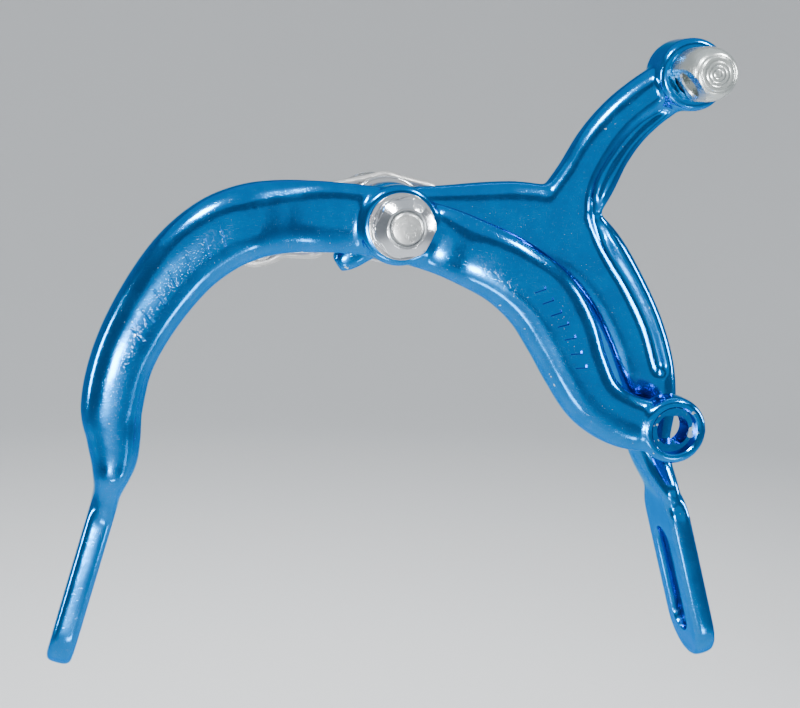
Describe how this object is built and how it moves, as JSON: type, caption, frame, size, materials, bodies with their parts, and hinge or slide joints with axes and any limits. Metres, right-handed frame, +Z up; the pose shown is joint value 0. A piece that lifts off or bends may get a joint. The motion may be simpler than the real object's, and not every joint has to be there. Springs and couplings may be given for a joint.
{
  "type": "rim brake caliper",
  "caption": "Single-pivot side-pull rim brake caliper: two forged blue arms on one bolt, return spring, slotted shoe plates, cable anchor eye and swivel cable stud.",
  "frame": {"origin": "on the pivot axis, in the plane where the seat washer bears on the fork crown", "axes": "+Y back along the mounting bolt towards the fork, +Z up, +X to the side of the cable stud, on the right as seen from in front of the brake"},
  "size_m": [0.1293, 0.0513, 0.1204],
  "materials": {
    "blue_anodised": "glossy transparent blue over forged metal",
    "chrome": "polished plate",
    "bare_steel": "turned, zinc plated",
    "spring_steel": "drawn wire",
    "brass": "plain"
  },
  "bodies": {
    "pivot": {"pivot_bolt": "bare_steel", "spring_block": "chrome", "return_spring": "spring_steel", "seat_washer": "bare_steel", "rear_washer": "brass", "middle_washer": "brass", "front_washer": "chrome", "adjusting_nut": "chrome", "lock_nut": "chrome", "radius_washer": "bare_steel", "plain_washer": "bare_steel", "lock_washer": "bare_steel", "mounting_nut": "bare_steel"},
    "front_arm": {"front_arm": "blue_anodised", "front_spring_peg": "bare_steel"},
    "rear_arm": {"rear_arm": "blue_anodised", "rear_spring_peg": "bare_steel"},
    "cable_stud": {"cable_stud": "bare_steel", "stud_washer": "bare_steel", "stud_clip": "spring_steel"}
  },
  "joints": [
    {"name": "front_arm_pivot", "type": "hinge", "parent": "pivot", "child": "front_arm", "pos_m": [0, -0.02055, 0], "axis": [0, -1, 0], "range_deg": [0, 24], "stiffness_Nm_per_rad": 0.9, "springref_deg": -25.78, "deforming": ["return_spring"]},
    {"name": "rear_arm_pivot", "type": "hinge", "parent": "pivot", "child": "rear_arm", "pos_m": [0, -0.01285, 0], "axis": [0, 1, 0], "range_deg": [0, 24], "stiffness_Nm_per_rad": 0.9, "springref_deg": -25.78},
    {"name": "stud_swivel", "type": "hinge", "parent": "rear_arm", "child": "cable_stud", "pos_m": [0.0557, -0.0183, 0.0286], "axis": [0, -1, 0], "continuous": true}
  ]
}
